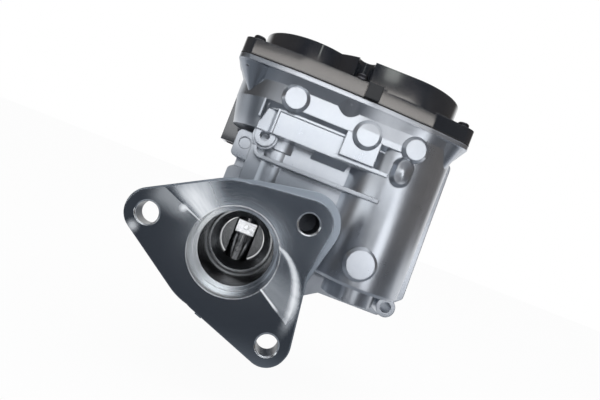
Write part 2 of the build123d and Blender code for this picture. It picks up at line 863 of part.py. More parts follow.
with BuildPart() as stop_screw:
    with BuildSketch(over(stop_x, stop_y, floor_z - 6)):
        Circle(stop_r)
    extrude(amount=6 + sector_low + sector_t - floor_z)
save(stop_screw, "stop_screw")

# Motor
shaft_end = barrel_low + barrel_floor + 3.5
can_low = barrel_low + barrel_floor + 1.1
cap_plate_t = 2.0
pinion_low = wheel_low - 1.2
pinion_top = wheel_low + wheel_t + 1.0

with BuildPart() as motor_pinion:
    with BuildSketch(over(motor_x, motor_y, pinion_low)):
        with BuildLine():
            Polyline(*teeth(motor_count, 0, motor_count - 1, to_motor + pi + pi / motor_count), close=True)
        make_face()
        Circle(motor_shaft_r, mode=Mode.SUBTRACT)
    extrude(amount=pinion_top - pinion_low)
save(motor_pinion, "motor_pinion")

with BuildPart() as motor_shaft:
    with BuildSketch(over(motor_x, motor_y, shaft_end)):
        Circle(motor_shaft_r)
    extrude(amount=pinion_top - shaft_end)
save(motor_shaft, "motor_shaft")

with BuildPart() as rotor_core:
    with BuildSketch(over(motor_x, motor_y, core_low)):
        Circle(core_r)
        Circle(motor_shaft_r, mode=Mode.SUBTRACT)
        with PolarLocations(core_r - 2, 8):
            Rectangle(5, 1.6, mode=Mode.SUBTRACT)
    extrude(amount=core_high - core_low)
save(rotor_core, "rotor_core")

with BuildPart() as rotor_windings:
    for low in (core_low - 4.5, core_high):
        with BuildSketch(over(motor_x, motor_y, low)):
            Circle(core_r - 2)
            Circle(motor_shaft_r, mode=Mode.SUBTRACT)
        extrude(amount=4.5)
save(rotor_windings, "rotor_windings")

with BuildPart() as commutator:
    with BuildSketch(over(motor_x, motor_y, core_high + 4.5)):
        Circle(4.6)
        Circle(motor_shaft_r, mode=Mode.SUBTRACT)
    extrude(amount=7)
save(commutator, "commutator")

with BuildPart() as motor_can:
    with BuildSketch(over(motor_x, motor_y, can_low)):
        Circle(can_r)
    extrude(amount=can_top - can_low)
    with BuildSketch(over(motor_x, motor_y, can_low + can_t)):
        Circle(can_r - can_t)
    extrude(amount=can_top, mode=Mode.SUBTRACT)
    with BuildSketch(over(motor_x, motor_y, can_low + can_t)):
        Circle(bearing_r + 1.6)
        Circle(bearing_r, mode=Mode.SUBTRACT)
    extrude(amount=bearing_len)
save(motor_can, "motor_can")

with BuildPart() as motor_magnets:
    with BuildSketch(over(motor_x, motor_y, core_low - 3)):
        Circle(can_r - can_t)
        Circle(can_r - can_t - magnet_t, mode=Mode.SUBTRACT)
        Rectangle(9, 60, mode=Mode.SUBTRACT)
    extrude(amount=core_high - core_low + 6)
save(motor_magnets, "motor_magnets")

cap_room_r = 8.6
bearing_high = floor_z - bearing_len
with BuildPart() as motor_end_cap:
    with BuildSketch(over(motor_x, motor_y, can_top - 4)):
        Circle(can_r - can_t)
    extrude(amount=4)
    with BuildSketch(over(motor_x, motor_y, can_top)):
        Circle(can_r)
    extrude(amount=floor_z - can_top)
    with BuildSketch(over(0, 0, floor_z)):
        add(hull((motor_x, motor_y, can_r - 0.4), *[(x, y, 4.0) for x, y in motor_ears]))
    extrude(amount=cap_plate_t)
    for low, high, r in (
        (can_top - 4, bearing_high, cap_room_r),
        (bearing_high, floor_z, bearing_r),
        (floor_z, floor_z + cap_plate_t, motor_shaft_r + gap),
    ):
        with BuildSketch(over(motor_x, motor_y, low)):
            Circle(r)
        extrude(amount=high - low, mode=Mode.SUBTRACT)
    with BuildSketch(over(0, 0, floor_z)):
        with Locations(*motor_ears):
            Circle(motor_screw_r)
    extrude(amount=cap_plate_t, mode=Mode.SUBTRACT)
save(motor_end_cap, "motor_end_cap")

with BuildPart() as motor_bearings:
    for low in (can_low + can_t, bearing_high):
        with BuildSketch(over(motor_x, motor_y, low)):
            Circle(bearing_r)
            Circle(motor_shaft_r + run_fit, mode=Mode.SUBTRACT)
        extrude(amount=bearing_len)
save(motor_bearings, "motor_bearings")

with BuildPart() as motor_brushes:
    for side in (-1, 1):
        with Locations((motor_x + side * 6.6, motor_y, core_high + 8.5)):
            Box(3.2, 3.6, 4.5)
save(motor_brushes, "motor_brushes")

with BuildPart() as motor_terminals:
    for side in (-1, 1):
        with Locations((motor_x + 8, motor_y + side * 8, floor_z + cap_plate_t)):
            Box(3.2, 0.8, 10, align=(Align.CENTER, Align.CENTER, Align.MIN))
save(motor_terminals, "motor_terminals")

with BuildPart() as motor_screws:
    with BuildSketch(over(0, 0, floor_z - 7)):
        with Locations(*motor_ears):
            Circle(motor_screw_r)
    extrude(amount=7 + cap_plate_t)
    with BuildSketch(over(0, 0, floor_z + cap_plate_t)):
        with Locations(*motor_ears):
            Circle(2.6)
    extrude(amount=1.9)
save(motor_screws, "motor_screws")

with BuildPart() as wave_washer:
    with BuildSketch(Plane.XZ) as washer_profile:
        with BuildLine():
            Polyline(
                (10, can_low),
                (10, can_low - 0.5),
                (14.5, barrel_low + barrel_floor),
                (14.5, can_low - 0.6),
                close=True,
            )
        make_face()
    revolve(axis=Axis.Z)
wave_washer.part = wave_washer.part.moved(Location((motor_x, motor_y, 0)))
save(wave_washer, "wave_washer")

# Connector
with BuildPart() as connector_pins:
    block_mid_x = bay_right - bay_gap - block_w / 2
    block_mid_y = (bay_front + rear_y) / 2
    with Locations((block_mid_x, block_mid_y, socket_low + socket_deep)):
        with GridLocations(0, pin_pitch, 1, 5):
            Box(1.6, 0.8, socket_deep - 5, align=(Align.CENTER, Align.CENTER, Align.MAX))
save(connector_pins, "connector_pins")
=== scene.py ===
import bpy
import bmesh
import math
from mathutils import Matrix, Vector


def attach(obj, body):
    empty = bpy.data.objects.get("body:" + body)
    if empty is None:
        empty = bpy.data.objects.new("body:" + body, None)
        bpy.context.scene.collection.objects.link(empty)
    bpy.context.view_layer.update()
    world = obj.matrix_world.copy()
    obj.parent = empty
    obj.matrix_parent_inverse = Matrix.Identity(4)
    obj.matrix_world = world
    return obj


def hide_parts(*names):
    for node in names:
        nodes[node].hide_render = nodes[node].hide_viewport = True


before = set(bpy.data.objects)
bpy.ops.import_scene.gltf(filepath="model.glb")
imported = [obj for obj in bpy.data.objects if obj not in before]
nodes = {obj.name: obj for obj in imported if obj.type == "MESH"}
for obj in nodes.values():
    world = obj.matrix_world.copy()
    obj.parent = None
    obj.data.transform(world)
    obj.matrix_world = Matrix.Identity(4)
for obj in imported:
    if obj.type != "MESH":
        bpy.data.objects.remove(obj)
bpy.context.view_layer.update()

scene = bpy.context.scene
white = (1, 1, 1, 1)
print("frame loaded, nodes:", len(nodes))


# Shader maths as plain expressions
class Val:
    def __init__(self, net, socket):
        self.net = net
        self.socket = socket

    def math(self, operation, *others):
        return self.net.node("ShaderNodeMath", {"operation": operation}, [self, *others])

    def __add__(self, other):
        return self.math("ADD", other)

    def __radd__(self, other):
        return self.math("ADD", other)

    def __sub__(self, other):
        return self.math("SUBTRACT", other)

    def __rsub__(self, other):
        return self.net.node("ShaderNodeMath", {"operation": "SUBTRACT"}, [other, self])

    def __mul__(self, other):
        return self.math("MULTIPLY", other)

    def __rmul__(self, other):
        return self.math("MULTIPLY", other)

    def __gt__(self, other):
        return self.math("GREATER_THAN", other)

    def __lt__(self, other):
        return self.math("LESS_THAN", other)

    def between(self, low, high):
        return (self > low) * (self < high)

    def upToOne(self):
        return self.math("MINIMUM", 1.0)

    def outputNamed(self, name):
        return Val(self.net, self.socket.node.outputs[name])


class Net:
    def __init__(self, tree):
        self.tree = tree
        tree.nodes.clear()

    def plug(self, socket, value):
        if isinstance(value, Val):
            self.tree.links.new(value.socket, socket)
        else:
            socket.default_value = value

    def node(self, kind, settings=None, values=None, output=0):
        made = self.tree.nodes.new(kind)
        for name, value in (settings or {}).items():
            setattr(made, name, value)
        pairs = values.items() if isinstance(values, dict) else enumerate(values or [])
        for key, value in pairs:
            self.plug(made.inputs[key], value)
        return Val(self, made.outputs[output])

    def split(self, vector):
        first = self.node("ShaderNodeSeparateXYZ", None, [vector])
        return [Val(self, socket) for socket in first.socket.node.outputs]

    def fade(self, value, low, high, atLow=0.0, atHigh=1.0):
        settings = {"interpolation_type": "SMOOTHSTEP"}
        return self.node("ShaderNodeMapRange", settings, [value, low, high, atLow, atHigh])

    def tint(self, factor, first, second):
        return self.node("ShaderNodeMix", {"data_type": "RGBA"}, {0: factor, 6: first, 7: second}, 2)

    def noise(self, vector, scale, detail=2.0, rough=0.5):
        values = {"Vector": vector, "Scale": scale, "Detail": detail, "Roughness": rough}
        return self.node("ShaderNodeTexNoise", None, values)

    def joined(self, x, y, z):
        return self.node("ShaderNodeCombineXYZ", None, [x, y, z])


# A material on Object coordinates. Its relief heights are in millimetres
class Paint(Net):
    def __init__(self, name):
        self.material = bpy.data.materials.new(name)
        self.material.use_nodes = True
        super().__init__(self.material.node_tree)
        self.out = self.tree.nodes.new("ShaderNodeOutputMaterial")
        self.body = self.tree.nodes.new("ShaderNodeBsdfPrincipled")
        self.tree.links.new(self.body.outputs[0], self.out.inputs[0])
        self.place = self.node("ShaderNodeTexCoord", output=3)

    def set(self, **sockets):
        for name, value in sockets.items():
            self.plug(self.body.inputs[name.replace("_", " ")], value)

    def relief(self, height, edge=None):
        values = {"Strength": 1.0, "Distance": 0.001, "Height": height}
        if edge:
            values["Normal"] = self.node("ShaderNodeBevel", {"samples": 4}, [edge])
        self.set(Normal=self.node("ShaderNodeBump", None, values))


def reachFrom(x, y, atX, atY):
    acrossX = x - atX
    acrossY = y - atY
    return (acrossX * acrossX + acrossY * acrossY).math("SQRT")


# Camera: near and level with the valve, turned a little and rolled
cameraPlace = {
    "at": (0.0052, -0.175, 0.0268),
    "turn": 3.52,
    "roll": 21.5,
    "rise": 0.002,
    "focalPixels": 470.9,
    "imagePixels": 600,
    "sensor": 36,
    "near": 0.005,
}


def makeCamera():
    look = cameraPlace
    data = bpy.data.cameras.new("camera")
    camera = bpy.data.objects.new("camera", data)
    scene.collection.objects.link(camera)
    data.sensor_width = look["sensor"]
    data.lens = look["focalPixels"] / look["imagePixels"] * look["sensor"]
    data.clip_start = look["near"]
    turn = math.radians(look["turn"])
    roll = math.radians(look["roll"])
    ahead = Vector((math.sin(turn), math.cos(turn), look["rise"])).normalized()
    side = ahead.cross(Vector((0, 0, 1))).normalized()
    above = side.cross(ahead)
    right = side * math.cos(roll) + above * math.sin(roll)
    up = above * math.cos(roll) - side * math.sin(roll)
    camera.matrix_world = Matrix(
        (
            (right.x, up.x, -ahead.x, look["at"][0]),
            (right.y, up.y, -ahead.y, look["at"][1]),
            (right.z, up.z, -ahead.z, look["at"][2]),
            (0, 0, 0, 1),
        )
    )
    scene.camera = camera


# Stage: white floor and backdrop, a dim studio on the camera's side that only metal and gloss show
stage = {
    "floorZ": -0.055,
    "floorSize": 3,
    "floorGlow": 0.94,
    "floorPaint": (0.8, 0.8, 0.8, 1),
    "floorFront": (0.05, 0.056, 0.068, 1),
    "floorNear": (0.24, 0.26, 0.29, 1),
    "floorBehind": (0.85, 0.86, 0.88, 1),
    "nearFrom": (-0.09, -0.02),
    "behindFrom": (0.04, 0.16),
    "plain": (0.80, 0.80, 0.81, 1),
    "front": (0.038, 0.045, 0.060, 1),
    "sides": (0.12, 0.108, 0.10, 1),
    "above": (0.34, 0.35, 0.37, 1),
    "sidesFrom": (0.35, 0.85),
    "aboveFrom": (0.35, 0.9),
    "whiteFrom": (0.45, 0.8),
}


def makeFloor():
    look = stage
    mesh = bpy.data.meshes.new("floor")
    shape = bmesh.new()
    bmesh.ops.create_grid(shape, x_segments=1, y_segments=1, size=look["floorSize"])
    bmesh.ops.translate(shape, verts=shape.verts, vec=(0, 0, look["floorZ"]))
    shape.to_mesh(mesh)
    shape.free()
    floor = bpy.data.objects.new("floor", mesh)
    scene.collection.objects.link(floor)
    paint = Paint("paleFloor")
    paint.set(Base_Color=look["floorPaint"], Roughness=0.9)
    seen = paint.node("ShaderNodeLightPath")
    mirrored = seen.outputNamed("Is Glossy Ray")
    share = (seen + seen.outputNamed("Is Transmission Ray")) * look["floorGlow"] + mirrored
    x, y, z = paint.split(paint.place)
    inMetal = paint.tint(paint.fade(y, *look["nearFrom"]), look["floorFront"], look["floorNear"])
    inMetal = paint.tint(paint.fade(y, *look["behindFrom"]), inMetal, look["floorBehind"])
    color = paint.tint(mirrored, white, inMetal)
    glow = paint.node("ShaderNodeEmission", None, {"Color": color, "Strength": 1.0})
    lit = Val(paint, paint.body.outputs[0])
    mixed = paint.node("ShaderNodeMixShader", None, [share, lit, glow])
    paint.tree.links.new(mixed.socket, paint.out.inputs[0])
    paint.material.cycles.emission_sampling = "NONE"
    mesh.materials.append(paint.material)


def makeWorld():
    look = stage
    world = bpy.data.worlds.new("world")
    scene.world = world
    world.use_nodes = True
    net = Net(world.node_tree)
    out = net.tree.nodes.new("ShaderNodeOutputWorld")
    x, y, z = net.split(net.node("ShaderNodeTexCoord"))
    studio = net.tint(net.fade(x.math("ABSOLUTE"), *look["sidesFrom"]), look["front"], look["sides"])
    studio = net.tint(net.fade(z, *look["aboveFrom"]), studio, look["above"])
    studio = net.tint(net.fade(y, *look["whiteFrom"]), studio, white)
    seen = net.node("ShaderNodeLightPath")
    color = net.tint(seen.outputNamed("Is Glossy Ray"), look["plain"], studio)
    color = net.tint((seen + seen.outputNamed("Is Transmission Ray")).upToOne(), color, white)
    sky = net.node("ShaderNodeBackground", None, [color, 1.0])
    net.tree.links.new(sky.socket, out.inputs[0])
    world.cycles.sampling_method = "NONE"


# Soft lamps: place, what it points at, size, power, colour
lamps = {
    "top": ((0.025, -0.40, 0.128), (0.03, 0.03, 0.05), (0.37, 0.10), 0.225, (0.96, 0.98, 1.0)),
    "left": ((-0.38, -0.33, 0.01), (0.03, 0.03, 0.03), (0.35, 0.20), 0.32, (0.95, 0.98, 1.0)),
    "right": ((0.204, -0.40, -0.025), (0.06, 0.03, 0.0), (0.172, 0.17), 0.20, (0.97, 0.98, 1.0)),
    "bore": ((-0.012, -0.40, -0.06), (0.0, 0.03, 0.0), (0.08, 0.08), 0.045, (1.0, 1.0, 1.0)),
    "strip": ((0.04, -0.40, 0.195), (0.03, 0.03, 0.07), (0.52, 0.022), 0.10, (1.0, 0.95, 0.90)),
    "spot": ((0.052, -0.40, 0.25), (0.03, 0.03, 0.07), (0.02, 0.06), 0.0085, (0.95, 1.0, 0.95)),
    "overhead": ((0.04, 0.0, 0.40), (0.04, 0.03, 0.03), (0.40, 0.30), 0.35, (1.0, 1.0, 1.0)),
}


def makeLamp(name, place, aim, size, power, color):
    data = bpy.data.lights.new(name, "AREA")
    data.shape = "RECTANGLE"
    data.size, data.size_y = size
    data.energy = power
    data.color = color
    lamp = bpy.data.objects.new(name, data)
    scene.collection.objects.link(lamp)
    lamp.location = place
    lamp.rotation_mode = "QUATERNION"
    lamp.rotation_quaternion = (Vector(aim) - Vector(place)).to_track_quat("-Z", "Y")
    lamp.visible_camera = False


makeCamera()
makeFloor()
makeWorld()
for name, values in lamps.items():
    makeLamp(name, *values)
scene.view_settings.view_transform = "Standard"
print("camera and stage ready")


# Gas flange: painted highlights on its face, in fans of light round the bore at angles in degrees, a curved
# band, bright lines and painted glints
gasFlange = {
    "faceDepth": 0.00006,
    # lower and upper halves of the face, split at these angles: painted light and painted shade
    "lower": (0.52, 0.56, 0.60, 1),
    "upper": (0.46, 0.51, 0.57, 1),
    "upperShare": 0.8,
    "upperBetween": (-33.0, 157.0),
    "bright": (0.90, 0.93, 0.96, 1),
    "roughness": 0.15,
    "brightRoughness": 0.45,
    # topFan and earFan: painted highlight fans; arc: a painted highlight band curving round the bore, with
    # painted light filled inside it
    "topFan": {"rise": (114.0, 147.0), "fall": (158.0, 149.0), "reach": (0.040, 0.024)},
    "earFan": {"from": 157.0, "fall": (174.0, 160.0), "inner": (0.018, 0.026), "outer": (0.040, 0.033)},
    "earShare": 0.35,
    "arcStart": 32.0,
    "arcRadius": 0.016,
    "arcSpread": 0.00027,
    "arcWidth": (0.0, 60.0, 0.0014, 0.0034),
    "arcRise": (-6.0, 14.0),
    "arcFall": (-44.0, -18.0, 0.0, 0.9),
    "fillFade": (10.0, -26.0),
    "fillShare": 0.34,
    # edges: painted highlight lines where the reflections end sharply; glints: painted glints
    "edges": ((-32.4, (1.6, 0.4), (0.029, 0.025)), (157.0, (1.2, 0.3), (0.026, 0.023))),
    "glints": ((-0.0378, -0.0040, 0.0034), (-0.0228, 0.0088, 0.0022)),
    "highlightLineShare": 0.7,
    "streakFade": (0.2, 0.65, 0.75, 1.0),
}


def paintedFlangeLight(paint, x, z, reach, angle, upper):
    look = gasFlange
    fan = look["topFan"]
    topFan = paint.fade(angle, *fan["rise"]) * paint.fade(angle, *fan["fall"])
    topFan = topFan * paint.fade(reach, *fan["reach"])
    fan = look["earFan"]
    earFan = (angle > fan["from"]) * paint.fade(angle, *fan["fall"])
    earFan = earFan * paint.fade(reach, *fan["inner"]) * paint.fade(reach, *fan["outer"])

    sweep = look["arcStart"] - angle
    curve = sweep * look["arcSpread"] + look["arcRadius"]
    width = paint.fade(sweep, *look["arcWidth"])
    arc = paint.fade((reach - curve).math("ABSOLUTE"), width, 0.0)
    arc = arc * paint.fade(sweep, *look["arcRise"]) * paint.fade(angle, *look["arcFall"])
    fill = paint.fade(angle, *look["fillFade"]) * upper * (reach < curve) * look["fillShare"]

    # painted highlight lines and painted glints
    edges = 0.0
    for at, width, length in look["edges"]:
        edges = paint.fade((angle - at).math("ABSOLUTE"), *width) * paint.fade(reach, *length) + edges
    for glintX, glintZ, radius in look["glints"]:
        edges = paint.fade(reachFrom(x, z, glintX, glintZ), radius, 0.0) + edges

    streak = paint.noise(paint.joined(reach * 0.5, angle * 0.0012, 0.0), 260.0, 3.0)
    glow = (topFan + arc + fill) * paint.fade(streak, *look["streakFade"])
    return (glow + earFan * look["earShare"] + edges * look["highlightLineShare"]).upToOne()


# Bolt holes as x, z and radius, the last one tapped: painted highlight rims, chamfer relief, painted shade
# on the hole walls, a thread
boltHoles = {
    "places": ((-0.0345, 0.0025, 0.00425), (0.0243, -0.0279, 0.00425), (0.0225, 0.02, 0.004)),
    # rim: a painted highlight ring round each hole
    "rim": (0.00065, 0.0005),
    "chamfer": 0.0006,
    "wallDepth": (0.0006, 0.0165),
    # wall and tappedWall: painted shade inside the holes
    "wall": (0.10, 0.105, 0.11, 1),
    "tappedWall": (0.15, 0.16, 0.18, 1),
    "pitch": 0.00125,
    "slack": 0.0001,
}


def holeMarks(paint, x, y, z, face):
    look = boltHoles
    outside, inside = look["rim"]
    rim = 0.0
    chamfer = 0.0
    wall = 0.0
    for holeX, holeZ, radius in look["places"]:
        away = reachFrom(x, z, holeX, holeZ)
        rim = paint.fade(away, radius + outside, radius + inside) * face + rim
        chamfer = paint.fade(away, radius, radius + look["chamfer"]) * face + chamfer
        wall = (away < radius + look["slack"]) * y.between(*look["wallDepth"]) + wall
    return rim, chamfer, wall


def tappedMarks(x, y, z, face):
    look = boltHoles
    holeX, holeZ, radius = look["places"][-1]
    inside = (reachFrom(x, z, holeX, holeZ) < radius + look["slack"]) * (1 - face)
    spin = (z - holeZ).math("ARCTAN2", x - holeX)
    return inside, (y * (math.tau / look["pitch"]) + spin).math("SINE") * inside


# Gas way: a turned mouth with a painted highlight ring at its edge, painted light at its lower left and
# painted shade at its upper right, and a darker duct behind it
gasWay = {
    "mouthRadius": 0.0171,
    "mouthDepth": 0.012,
    # painted highlight ring at the mouth's edge
    "mouthRimHighlight": (0.0006, 0.0004),
    # painted shade and painted light on the mouth wall
    "mouthPaintedShade": (0.30, 0.33, 0.37, 1),
    "mouthPaintedLight": (0.90, 0.93, 0.95, 1),
    "paintedLightSide": (-0.8, -0.6),
    "paintedLightFade": (-0.006, 0.010),
    "ductRadius": 0.0152,
    "ductEnd": 0.046,
    "duct": (0.17, 0.175, 0.18, 1),
    "slack": 0.0003,
}

# Cast skin: satin, with painted shade on the neck behind the flange and on the left side of the gear case,
# a thin band of painted shade at one depth, and paler in one patch of the sloping wall under the cover
castSkin = {
    "tone": (0.68, 0.71, 0.75, 1),
    "shade": (0.58, 0.61, 0.66, 1),
    "toneFade": (0.20, 0.80),
    "roughness": 0.29,
    "metal": 0.95,
    # a thin band of painted shade at this depth
    "margin": (0.40, 0.45, 0.51, 1),
    "marginDepth": (0.0028, 0.0032),
    # deep: painted shade laid on the neck and left-side patches
    "deep": (0.26, 0.29, 0.33, 1),
    "paintedShadeShare": 0.75,
    "neck": {"x": (0.030, 0.018), "z": (0.044, 0.032), "y": (0.008, 0.05)},
    "leftWall": {"x": (-0.006, -0.016), "z": (0.046, 0.056), "y": (0.020, 0.089)},
    "paleX": 0.041,
    "paleFade": (0.014, 0.002),
    "paleZ": (0.0655, 0.0775),
    "paleY": 0.036,
    "rear": (0.72, 0.74, 0.77, 1),
    "rearDepth": 0.08795,
    "bump": (0.0548, 0.0546, 0.0048),
    "bumpSquash": 0.7,
    "bumpDepth": (0.0235, 0.0275),
}


def skinTone(paint, x, y, z, cloud, brushed):
    look = castSkin
    tone = paint.fade(cloud * 0.85 + brushed * 0.15, *look["toneFade"])
    skin = paint.tint(tone, look["shade"], look["tone"])
    skin = paint.tint(y.between(*look["marginDepth"]), skin, look["margin"])
    # painted shade on the neck behind the flange and on the left side
    deep = 0.0
    for patch in (look["neck"], look["leftWall"]):
        deep = paint.fade(x, *patch["x"]) * paint.fade(z, *patch["z"]) * y.between(*patch["y"]) + deep
    return paint.tint(deep * look["paintedShadeShare"], skin, look["deep"])


def bumpCrown(paint, x, y, z):
    look = castSkin
    bumpX, bumpZ, radius = look["bump"]
    away = reachFrom(x, z * look["bumpSquash"], bumpX, bumpZ * look["bumpSquash"])
    return paint.fade(away, radius, 0.0) * y.between(*look["bumpDepth"])


def castMetal():
    flange, way, skin = gasFlange, gasWay, castSkin
    paint = Paint("castMetal")
    x, y, z = paint.split(paint.place)
    cloud = paint.noise(paint.place, 90.0, 4.0, 0.6)
    grain = paint.noise(paint.place, 2600.0, 2.0)
    brushed = paint.noise(paint.joined(x, y, z * 0.22), 700.0, 2.0)
    reach = reachFrom(x, z, 0.0, 0.0)
    angle = z.math("ARCTAN2", x) * math.degrees(1)
    rings = paint.noise(paint.joined(reach, angle * 0.00002, 0.0), 2400.0, 1.0)

    # which surface this is
    face = y < flange["faceDepth"]
    depth = way["mouthDepth"] + way["slack"]
    mouth = (reach < way["mouthRadius"] + 0.0001) * (y < depth) * (1 - face)
    duct = (reach < way["ductRadius"]) * y.between(depth, way["ductEnd"])
    rear = y > skin["rearDepth"]
    worked = (face + mouth + duct + rear).upToOne()
    rim, chamfer, holeWallShade = holeMarks(paint, x, y, z, face)
    tapped, thread = tappedMarks(x, y, z, face)
    upper = angle.between(*flange["upperBetween"])
    # painted highlights on the flange face
    bright = paintedFlangeLight(paint, x, z, reach, angle, upper) * face
    outside, inside = way["mouthRimHighlight"]
    mouthRimHighlight = paint.fade(reach, way["mouthRadius"] + outside, way["mouthRadius"] + inside) * face
    sideX, sideZ = way["paintedLightSide"]
    paintedMouthLight = paint.fade(x * sideX + z * sideZ, *way["paintedLightFade"])
    pale = paint.fade((x - skin["paleX"]).math("ABSOLUTE"), *skin["paleFade"])
    pale = pale * z.between(*skin["paleZ"]) * (y < skin["paleY"])

    # flange face: halves in painted light and shade, then painted highlights and painted highlight rings
    faceColor = paint.tint(upper * flange["upperShare"], flange["lower"], flange["upper"])
    faceColor = paint.tint((bright + (rim + mouthRimHighlight).upToOne()).upToOne(), faceColor, flange["bright"])
    color = paint.tint(face, skinTone(paint, x, y, z, cloud, brushed), faceColor)
    # mouth wall: painted light at the lower left, painted shade at the upper right
    color = paint.tint(mouth, color, paint.tint(paintedMouthLight, way["mouthPaintedShade"], way["mouthPaintedLight"]))
    color = paint.tint(duct, color, way["duct"])
    # painted shade inside the bolt holes
    color = paint.tint(holeWallShade, color, boltHoles["wall"])
    color = paint.tint(tapped, color, boltHoles["tappedWall"])
    color = paint.tint(rear, color, skin["rear"])

    rough = (grain - 0.5) * 0.04 + (cloud - 0.5) * 0.07 + (brushed - 0.5) * 0.03 + skin["roughness"]
    rough = rough + pale * 0.25 + tapped * 0.25
    faceRough = bright * (flange["brightRoughness"] - flange["roughness"]) + flange["roughness"]
    faceRough = faceRough + (rings - 0.5) * 0.05
    rough = rough + (faceRough - rough) * worked
    metal = (1 - worked) * (skin["metal"] - 1.0) + 1.0
    metal = metal - bright * 0.7 - paintedMouthLight * mouth * 0.25 - pale * 0.6
    paint.set(Base_Color=color, Metallic=metal, Roughness=rough)

    height = (grain * 0.003 + cloud * 0.016) * (1 - worked) + rings * 0.006 * worked
    height = height + chamfer * 0.35 + thread * 0.08 + bumpCrown(paint, x, y, z) * 1.2
    paint.relief(height, edge=0.0006)
    return paint.material


# Glossy black cover. Its clip block in front is matt, between these x and up to this y
coverFinish = {
    "color": (0.012, 0.014, 0.018, 1),
    "dusty": (0.020, 0.022, 0.026, 1),
    "roughness": 0.10,
    "coat": 0.8,
    "clipX": (0.0265, 0.0335),
    "clipY": 0.0227,
    "clipRougher": 0.5,
}


def coverPlastic():
    look = coverFinish
    paint = Paint("coverPlastic")
    cloud = paint.noise(paint.place, 60.0, 3.0)
    grain = paint.noise(paint.place, 3200.0, 2.0)
    color = paint.tint(paint.fade(cloud, 0.35, 0.7), look["color"], look["dusty"])
    x, y, z = paint.split(paint.place)
    clip = x.between(*look["clipX"]) * (y < look["clipY"])
    rough = (cloud - 0.5) * 0.08 + (grain - 0.5) * 0.04 + clip * look["clipRougher"] + look["roughness"]
    paint.set(Base_Color=color, Roughness=rough, Coat_Weight=look["coat"] - clip * look["coat"])
    paint.set(Specular_IOR_Level=1.0, Coat_Roughness=0.05)
    paint.relief(grain * 0.002 + cloud * 0.03, edge=0.0007)
    return paint.material


# Finishes in two tones with a grain: tones, metallic, roughness, grain scale, spread of roughness, relief
grainyFinishes = {
    "capPlastic": ((0.015, 0.015, 0.017), (0.03, 0.03, 0.032), 0.0, 0.42, 2200.0, 0.1, 0.01),
    "rubber": ((0.010, 0.010, 0.011), (0.022, 0.022, 0.022), 0.0, 0.62, 1800.0, 0.16, 0.02),
    "zinc": ((0.72, 0.74, 0.79), (0.62, 0.63, 0.64), 1.0, 0.30, 2600.0, 0.1, 0.01),
    "bronze": ((0.62, 0.44, 0.24), (0.44, 0.30, 0.17), 1.0, 0.42, 3800.0, 0.2, 0.02),
    "gearPlastic": ((0.74, 0.71, 0.63), (0.64, 0.61, 0.54), 0.0, 0.40, 2000.0, 0.1, 0.01),
    "brass": ((0.82, 0.64, 0.30), (0.68, 0.50, 0.22), 1.0, 0.26, 3000.0, 0.1, 0.01),
    "canSteel": ((0.60, 0.61, 0.64), (0.48, 0.49, 0.52), 1.0, 0.34, 1800.0, 0.1, 0.01),
    "ferrite": ((0.05, 0.05, 0.055), (0.10, 0.10, 0.105), 0.3, 0.52, 3000.0, 0.16, 0.02),
    "carbon": ((0.035, 0.035, 0.036), (0.07, 0.07, 0.07), 0.2, 0.5, 3400.0, 0.16, 0.02),
    "springSteel": ((0.42, 0.42, 0.44), (0.28, 0.28, 0.30), 1.0, 0.30, 2600.0, 0.1, 0.01),
}


def grainy(name, first, second, metallic, roughness, scale, spread, lift):
    paint = Paint(name)
    cloud = paint.noise(paint.place, scale * 0.06, 4.0, 0.6)
    grain = paint.noise(paint.place, scale, 2.0)
    color = paint.tint(paint.fade(cloud + (grain - 0.5) * 0.4, 0.3, 0.7), (*first, 1), (*second, 1))
    rough = (grain - 0.5) * spread + (cloud - 0.5) * spread + roughness
    paint.set(Base_Color=color, Metallic=metallic, Roughness=rough)
    paint.relief(grain * lift, edge=0.0002)
    return paint.material


# Turned finishes, with tool lines round the axis: tones, axis, roughness, line scale
turnedFinishes = {
    "sleeveSteel": ((0.60, 0.61, 0.62), (0.46, 0.47, 0.48), "y", 0.24, 2600.0),
    "plateSteel": ((0.22, 0.225, 0.23), (0.15, 0.155, 0.16), "y", 0.22, 2600.0),
    "shaftSteel": ((0.84, 0.85, 0.87), (0.72, 0.73, 0.75), "z", 0.18, 3600.0),
    "pinSteel": ((0.70, 0.70, 0.72), (0.58, 0.58, 0.60), "z", 0.22, 3600.0),
}

# The shaft is darker in the gas way, but for its milled flat
shaftDarkening = {"color": (0.10, 0.10, 0.10, 1), "share": 0.75, "wayRadius": 0.0155, "flat": (0.0024, 0.0084)}
shaftY = 0.055


def turned(name, first, second, axis, roughness, scale):
    paint = Paint(name)
    x, y, z = paint.split(paint.place)
    if axis == "z":
        along, reach = z, reachFrom(x, y, 0.0, shaftY)
    else:
        along, reach = y, reachFrom(x, z, 0.0, 0.0)
    lines = paint.noise(paint.joined(reach, along, 0.0), scale, 1.0)
    wide = paint.noise(paint.joined(reach, along, 0.0), scale * 0.12, 2.0)
    cloud = paint.noise(paint.place, 140.0, 3.0)
    color = paint.tint(paint.fade(cloud * 0.5 + wide * 0.5, 0.35, 0.65), (*first, 1), (*second, 1))
    if name == "shaftSteel":
        darkened = (z.math("ABSOLUTE") < shaftDarkening["wayRadius"]) * (1 - z.between(*shaftDarkening["flat"]))
        color = paint.tint(darkened * shaftDarkening["share"], color, shaftDarkening["color"])
    rough = (lines - 0.5) * 0.12 + (cloud - 0.5) * 0.10 + roughness
    paint.set(Base_Color=color, Metallic=1.0, Roughness=rough)
    paint.relief(lines * 0.01 + wide * 0.02, edge=0.0002)
    return paint.material


